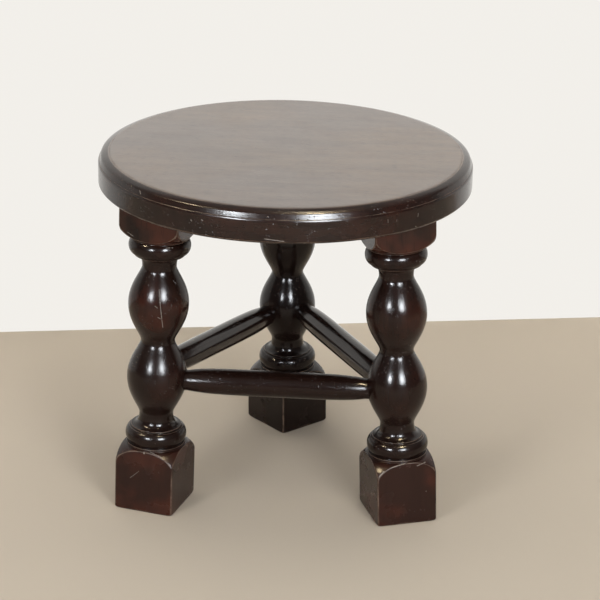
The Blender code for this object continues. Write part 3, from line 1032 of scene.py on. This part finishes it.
def leg_rows(leg, twist, placing):
    """All rings of a leg in its own axes, from its foot to its top."""
    bearings, block = block_outline(leg)
    bearings = bearings + twist
    lower_crown, _, upper_crown = leg_heights(leg)
    lean_x, lean_y, upright, _ = placing[2]
    lean = (np.cos(bearings) * lean_x + np.sin(bearings) * lean_y) / upright

    def to_floor(distance):
        return lower_crown + distance * lean

    def to_seat(distance):
        return LEG_TOP / upright - distance * lean - upper_crown

    half = half_turning(leg)
    foot_ease = leg.foot_ease + leg.foot_tip_ease * tip_share(block)
    below = block_rows(leg, block, to_floor, foot_ease)
    above = block_rows(leg, block, to_seat, leg.corner_softness)
    rings = [(radius, lower_crown - past) for radius, past in reversed(below)]
    rings += [(radius, lower_crown + past) for radius, past in half[1:]]
    rings += [(radius, upper_crown - past) for radius, past in reversed(half[1:-1])]
    rings += [(radius, upper_crown + past) for radius, past in above]
    return turn_rows(rings, bearings)


def stretcher_line(name, leg, joints):
    """The two points where a stretcher's tenons end inside the bulbs, and its run from bulb to bulb."""
    _, bulb_middle, _ = leg_heights(leg)
    radius = leg.bulb_diameter / 2.0
    mouths = []
    for side, offset, sense in zip(STRETCHER_LEGS[name], STRETCHER_OFFSETS[name], (-1.0, 1.0)):
        bearing = math.pi + sense * STRETCHER_BORINGS[name]
        point = Vector((radius * math.cos(bearing), radius * math.sin(bearing), bulb_middle + offset))
        mouths.append(leg_placing(side) @ point)
    start, end = mouths
    deep = (end - start).normalized() * joints.tenon_depth
    return start - deep, end + deep, (end - start).length - 2.0 * joints.relief


def dowel_ends(node):
    """The middles of a dowel's two end faces."""
    low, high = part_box(node)
    middle = (low + high) / 2.0
    return Vector((middle.x, middle.y, low.z)), Vector((middle.x, middle.y, high.z))


def dowel_pins(sides, gap):
    """Pins that cut the holes of the dowels at these legs."""
    pins = []
    for side in sides:
        for letter in "ab":
            node = f"dowel_{side}_{letter}"
            low, high = dowel_ends(node)
            box_low, box_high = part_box(node)
            grown = Vector((0.0, 0.0, gap))
            pins.append(pin_mesh(node, low - grown, high + grown, (box_high.x - box_low.x) / 2.0 + gap))
    return pins


def seat_profile(seat):
    """Half section of the seat board, from the underside's middle to the top's middle."""
    rim = seat.diameter / 2.0
    base = seat.top - seat.edge_height
    under = rim - seat.under_ease
    outline = [(under * part, seat.underside) for part in (*FLAT_PARTS, 1.0)]
    low = seat.underside + seat.under_ease
    high = base - seat.band_round * math.sin(seat.band_turn)
    outline += [(rim, height) for height in np.linspace(low, high, BAND_STEPS + 1)]
    for bend in np.linspace(0.0, seat.band_turn, BAND_STEPS + 1)[1:]:
        inwards = seat.band_round * (1.0 - math.cos(bend))
        outline.append((rim - inwards, high + seat.band_round * math.sin(bend)))
    foot = Vector((outline[-1][0] - seat.edge_step, base))
    brink = Vector((foot.x - seat.edge_width, seat.top))
    upwards = Vector((-math.sin(seat.edge_lean), math.cos(seat.edge_lean)))
    outwards = Vector((math.cos(seat.edge_brink), -math.sin(seat.edge_brink)))
    bend = foot + upwards * seat.edge_flat
    steep = upwards * (brink.y - bend.y) * seat.edge_fullness
    level = outwards * (bend.x - brink.x) * seat.edge_fullness
    outline.append(tuple(foot))
    outline += bezier(bend, bend + steep, brink + level, brink)
    outline += [(brink.x * part, seat.top) for part in reversed(FLAT_PARTS)]
    return soften(outline, seat.softness)


def make_stretcher_tree():
    """Geometry nodes that turn a cigar shape between two points."""
    inputs = {
        "From": "Vector",
        "To": "Vector",
        "Middle Diameter": 0.026,
        "End Diameter": 0.020,
        "Taper Share": 0.9,
        "Fullness": 2.5,
        "Unevenness": 0.0002,
        "Material": "Material",
    }
    kinds = {"kind": "GeometryNodeTree", "output_type": "Geometry"}
    tree, entry, leave = new_group("turned_stretcher", inputs, ("Geometry",), **kinds)
    line = tap(tree, "GeometryNodeCurvePrimitiveLine", {"Start": entry["From"], "End": entry["To"]})
    rings = tap(tree, "GeometryNodeResampleCurve", {"Curve": line, "Count": STRETCHER_RINGS})
    factor = tap(tree, "GeometryNodeSplineParameter", output="Factor")
    from_middle = calculate("ABSOLUTE", factor * 2.0 - 1.0)
    taper = calculate("DIVIDE", from_middle, entry["Taper Share"], clamp=True)
    thinning = calculate("POWER", taper, entry["Fullness"])
    swell = entry["Middle Diameter"] - entry["End Diameter"]
    diameter = entry["End Diameter"] + swell - swell * thinning
    circle = {"Resolution": STRETCHER_SIDES, "Radius": 0.5}
    section = tap(tree, "GeometryNodeCurvePrimitiveCircle", circle)
    bar = {"Curve": rings, "Profile Curve": section, "Scale": diameter, "Fill Caps": True}
    turned = tap(tree, "GeometryNodeCurveToMesh", bar)
    normal = tap(tree, "GeometryNodeInputNormal", output="Normal")
    place = tap(tree, "GeometryNodeInputPosition", output="Position")
    wander = (noise(place, WANDER_SCALE) - 0.5) * entry["Unevenness"]
    push = scale_vector(normal, wander)
    moved = tap(tree, "GeometryNodeSetPosition", {"Geometry": turned, "Offset": push})
    smooth = tap(tree, "GeometryNodeSetShadeSmooth", {"Geometry": moved})
    real = tap(tree, "GeometryNodeRealizeInstances", {"Geometry": smooth})
    done = tap(tree, "GeometryNodeSetMaterial", {"Geometry": real, "Material": entry["Material"]})
    feed(leave["Geometry"], done)
    return tree


def turned_stretcher_mesh(name, tree, values):
    """Run the stretcher tree with its inputs and keep the result as a plain mesh."""
    maker = link_object(name, bpy.data.meshes.new(name))
    modifier = maker.modifiers.new("turning", "NODES")
    modifier.node_group = tree
    for item in tree.interface.items_tree:
        if item.in_out == "INPUT":
            modifier[item.identifier] = values[item.name]
    graph = bpy.context.evaluated_depsgraph_get()
    mesh = bpy.data.meshes.new_from_object(maker.evaluated_get(graph))
    maker.modifiers.remove(modifier)
    bpy.data.objects.remove(maker, do_unlink=True)
    shape = bmesh.new()
    shape.from_mesh(mesh)
    bmesh.ops.recalc_face_normals(shape, faces=shape.faces)
    shape.to_mesh(mesh)
    shape.free()
    mesh.set_sharp_from_angle(angle=SHARP_ANGLE)
    return mesh


class STOOL_OT_seat(bpy.types.Operator):
    """Make the seat board with its moulded edge and dowel holes"""

    bl_idname = "stool.seat"
    bl_label = "Seat Board"

    def execute(self, context):
        seat = context.scene.stool_seat
        joints = context.scene.stool_stretchers
        bearings = np.arange(SEAT_SIDES) * (math.tau / SEAT_SIDES)
        mesh = mesh_from_rows("seat_board", turn_rows(seat_profile(seat), bearings))
        mark_arrises(mesh)
        mesh = cut_out(mesh, dowel_pins(FEET, joints.joint_gap))
        store_grain(mesh, Matrix.Rotation(math.radians(90.0), 4, "Y"))
        material = make_stained_wood(
            "seat_polish",
            {"Streaks": 210.0, "Pores": 800.0, "Stretch": 0.14},
            {"Spread": 60.0, "Share": 0.02},
            bump=0.40,
            grit=0.5,
            brown=0.4,
            red=0.15,
            rougher=0.02,
            mirror=0.32,
            marks=SEAT_MARKS,
            top=seat.top,
        )
        dress_piece("seat_board", mesh, material, "seat")
        return {"FINISHED"}


class STOOL_OT_legs(bpy.types.Operator):
    """Turn the three legs, with sockets for the stretchers and holes for the dowels"""

    bl_idname = "stool.legs"
    bl_label = "Turned Legs"

    def execute(self, context):
        leg = context.scene.stool_leg
        joints = context.scene.stool_stretchers
        material = make_stained_wood(
            "leg_polish",
            {"Streaks": 70.0, "Pores": 600.0, "Stretch": 0.08},
            {"Spread": 90.0, "Share": 0.05},
            bump=0.55,
            grit=0.5,
            brown=1.0,
            red=0.7,
            rougher=0.0,
            mirror=0.24,
            marks=LEG_MARKS_AND_GLINTS,
            turning=leg_heights(leg)[::2],
            rings=ring_stack(leg),
        )
        for name in FEET:
            placing = leg_placing(name)
            rows = leg_rows(leg, LEG_TWISTS[name], placing)
            turned = np.array(placing)
            rows = [row @ turned[:3, :3].T + turned[:3, 3] for row in rows]
            mesh = mesh_from_rows(f"turned_leg_{name}", rows)
            mark_arrises(mesh)
            pins = dowel_pins([name], joints.joint_gap) + self.socket_pins(name, leg, joints)
            mesh = cut_out(mesh, pins)
            store_grain(mesh, placing)
            dress_piece(f"turned_leg_{name}", mesh, material, f"leg_{name}")
        return {"FINISHED"}

    def socket_pins(self, name, leg, joints):
        """Pins that cut this leg's sockets."""
        pins = []
        for stretcher, sides in STRETCHER_LEGS.items():
            if name not in sides:
                continue
            start, end, _ = stretcher_line(stretcher, leg, joints)
            tip, middle = (start, end) if name == sides[0] else (end, start)
            along = (middle - tip).normalized()
            mouth = tip + along * leg.bulb_diameter
            radius = joints.end_diameter / 2.0 + joints.joint_gap
            bottom = tip - along * joints.joint_gap
            pins.append(pin_mesh(f"socket_{name}_{stretcher}", bottom, mouth, radius))
        return pins


class STOOL_OT_stretchers(bpy.types.Operator):
    """Turn the three stretchers between the lower bulbs"""

    bl_idname = "stool.stretchers"
    bl_label = "Stretchers"

    def execute(self, context):
        leg = context.scene.stool_leg
        joints = context.scene.stool_stretchers
        material = make_stained_wood(
            "stretcher_polish",
            {"Streaks": 90.0, "Pores": 700.0, "Stretch": 0.06},
            {"Spread": 110.0, "Share": 0.03},
            bump=0.80,
            grit=0.7,
            brown=0.6,
            red=0.1,
            rougher=-0.02,
            mirror=0.22,
        )
        tree = make_stretcher_tree()
        for name in STRETCHER_LEGS:
            start, end, run = stretcher_line(name, leg, joints)
            values = {
                "From": start,
                "To": end,
                "Middle Diameter": joints.middle_diameter,
                "End Diameter": joints.end_diameter,
                "Taper Share": run / (end - start).length,
                "Fullness": joints.fullness,
                "Unevenness": joints.unevenness,
                "Material": material,
            }
            mesh = turned_stretcher_mesh(f"cigar_stretcher_{name}", tree, values)
            mark_arrises(mesh)
            store_grain(mesh, line_placing(start, end))
            dress_piece(f"cigar_stretcher_{name}", mesh, material, f"stretcher_{name}")
        return {"FINISHED"}


class STOOL_OT_dowels(bpy.types.Operator):
    """Give the hidden dowels their bare wood"""

    bl_idname = "stool.dowels"
    bl_label = "Dowels"

    def execute(self, context):
        material = make_bare_wood("dowel_beech")
        for name, node in frame["nodes"].items():
            if name.startswith("dowel_"):
                node.data.materials.clear()
                node.data.materials.append(material)
        return {"FINISHED"}


class STOOL_OT_stage(bpy.types.Operator):
    """Set the camera, the plain floor and backdrop, and the soft lights"""

    bl_idname = "stool.stage"
    bl_label = "Stage"

    def execute(self, context):
        stage = context.scene.stool_stage
        context.scene.view_settings.view_transform = "Standard"
        self.add_camera(context, stage)
        reach = STAGE_REACH
        corners = [(-reach, -reach), (reach, -reach), (reach, reach), (-reach, reach)]
        self.add_plane("floor", corners, Matrix(), stage.floor_colour)
        turn = Matrix.Rotation(stage.backdrop_turn, 4, "Z")
        away = Matrix.Translation((0.0, stage.backdrop_distance, 0.0))
        upright = turn @ away @ Matrix.Rotation(math.radians(90.0), 4, "X")
        high = stage.backdrop_height
        corners = [(-reach, 0.0), (reach, 0.0), (reach, high), (-reach, high)]
        self.add_plane("backdrop", corners, upright, stage.backdrop_colour, one_sided=True)
        for settings in GLINTS:
            self.add_light(*settings).visible_diffuse = False
        for settings in FILLS:
            self.add_light(*settings).visible_glossy = False
        self.set_world(context)
        return {"FINISHED"}

    def add_camera(self, context, stage):
        """The camera at the photograph's viewing angle."""
        camera = bpy.data.cameras.new("camera")
        camera.lens = stage.camera_lens
        camera.sensor_width = SENSOR_WIDTH
        item = link_object("camera", camera)
        heading = Matrix.Rotation(stage.camera_heading, 4, "Z")
        pitch = Matrix.Rotation(math.pi / 2.0 - stage.camera_pitch, 4, "X")
        roll = Matrix.Rotation(stage.camera_roll, 4, "Z")
        item.matrix_world = Matrix.Translation(stage.camera_place) @ heading @ pitch @ roll
        context.scene.camera = item

    def add_plane(self, name, corners, placing, tint, one_sided=False):
        """A plain floor or backdrop; one that is one-sided can't be seen from behind."""
        points = [placing @ Vector((x, y, 0.0)) for x, y in corners]
        mesh = bpy.data.meshes.new(name)
        mesh.from_pydata([tuple(point) for point in points], [], [(0, 1, 2, 3)])
        material, tree, shader = new_material(name)
        looks = {"Roughness": STAGE_ROUGHNESS, "Specular IOR Level": STAGE_MIRROR}
        set_inputs(shader, {"Base Color": opaque(tint), **looks})
        if one_sided:
            rays = tap_all(tree, "ShaderNodeLightPath")
            seen = calculate("MAXIMUM", rays["Is Camera Ray"], rays["Is Glossy Ray"])
            seen = calculate("MAXIMUM", seen, rays["Is Transmission Ray"])
            lit = Signal(tree, shader.outputs[0])
            pale = tap(tree, "ShaderNodeEmission", {"Color": opaque(tint)})
            front = tap(tree, "ShaderNodeMixShader", {0: seen, 1: lit, 2: pale})
            back = tap(tree, "ShaderNodeNewGeometry", output="Backfacing")
            clear = tap(tree, "ShaderNodeBsdfTransparent")
            faced = tap(tree, "ShaderNodeMixShader", {0: back, 1: front, 2: clear})
            set_inputs(tree.nodes["Material Output"], {"Surface": faced})
        mesh.materials.append(material)
        link_object(name, mesh)

    def add_light(self, name, azimuth, elevation, distance, size, power, tint):
        """A soft rectangular lamp aimed at the stool, placed by its bearing in degrees."""
        light = bpy.data.lights.new(name, "AREA")
        light.shape = "RECTANGLE"
        light.size, light.size_y = size
        light.energy = power
        light.color = tint
        lamp = link_object(name, light)
        bearing = math.radians(azimuth)
        height = math.radians(elevation)
        level = distance * math.cos(height)
        place = Vector((level * math.cos(bearing), level * math.sin(bearing), distance * math.sin(height)))
        target = Vector((0.0, 0.0, CAD_BOX[1].z / 2.0))
        aim = (-place).to_track_quat("-Z", "Y").to_matrix().to_4x4()
        lamp.matrix_world = Matrix.Translation(place + target) @ aim
        lamp.visible_camera = False
        return lamp

    def set_world(self, context):
        """Plain soft light from all around, dim at eye level and brighter overhead."""
        world = bpy.data.worlds.new("room_light")
        world.use_nodes = True
        context.scene.world = world
        tree = world.node_tree
        upwards = split(tap(tree, "ShaderNodeTexCoord", output="Generated"))["Z"]
        strength = ramp(upwards, *SKY_HEIGHTS, *SKY_STRENGTHS)
        set_inputs(tree.nodes["Background"], {"Color": opaque(SKY_COLOUR), "Strength": strength})


class VIEW3D_PT_stool(bpy.types.Panel):
    """Makers of the stool's pieces"""

    bl_label = "Tripod Stool"
    bl_space_type = "VIEW_3D"
    bl_region_type = "UI"
    bl_category = "Stool"

    def draw(self, context):
        for maker in MAKERS:
            self.layout.operator(maker.bl_idname)


SETTINGS = {
    "stool_seat": SeatSizes,
    "stool_leg": LegSizes,
    "stool_stretchers": StretcherSizes,
    "stool_finish": FinishColours,
    "stool_stage": StageSettings,
}
MAKERS = (STOOL_OT_seat, STOOL_OT_legs, STOOL_OT_stretchers, STOOL_OT_dowels, STOOL_OT_stage)
CLASSES = (*SETTINGS.values(), *MAKERS, VIEW3D_PT_stool)


def register():
    """Make the settings, operators and panel known to Blender."""
    for item in CLASSES:
        bpy.utils.register_class(item)
    for name, group in SETTINGS.items():
        setattr(bpy.types.Scene, name, bpy.props.PointerProperty(type=group))


def unregister():
    """Take the settings, operators and panel away again."""
    for name in SETTINGS:
        delattr(bpy.types.Scene, name)
    for item in reversed(CLASSES):
        bpy.utils.unregister_class(item)


def main():
    """Make every piece in order."""
    register()
    for maker in MAKERS:
        group, action = maker.bl_idname.split(".")
        getattr(getattr(bpy.ops, group), action)()


if __name__ == "__main__":
    main()
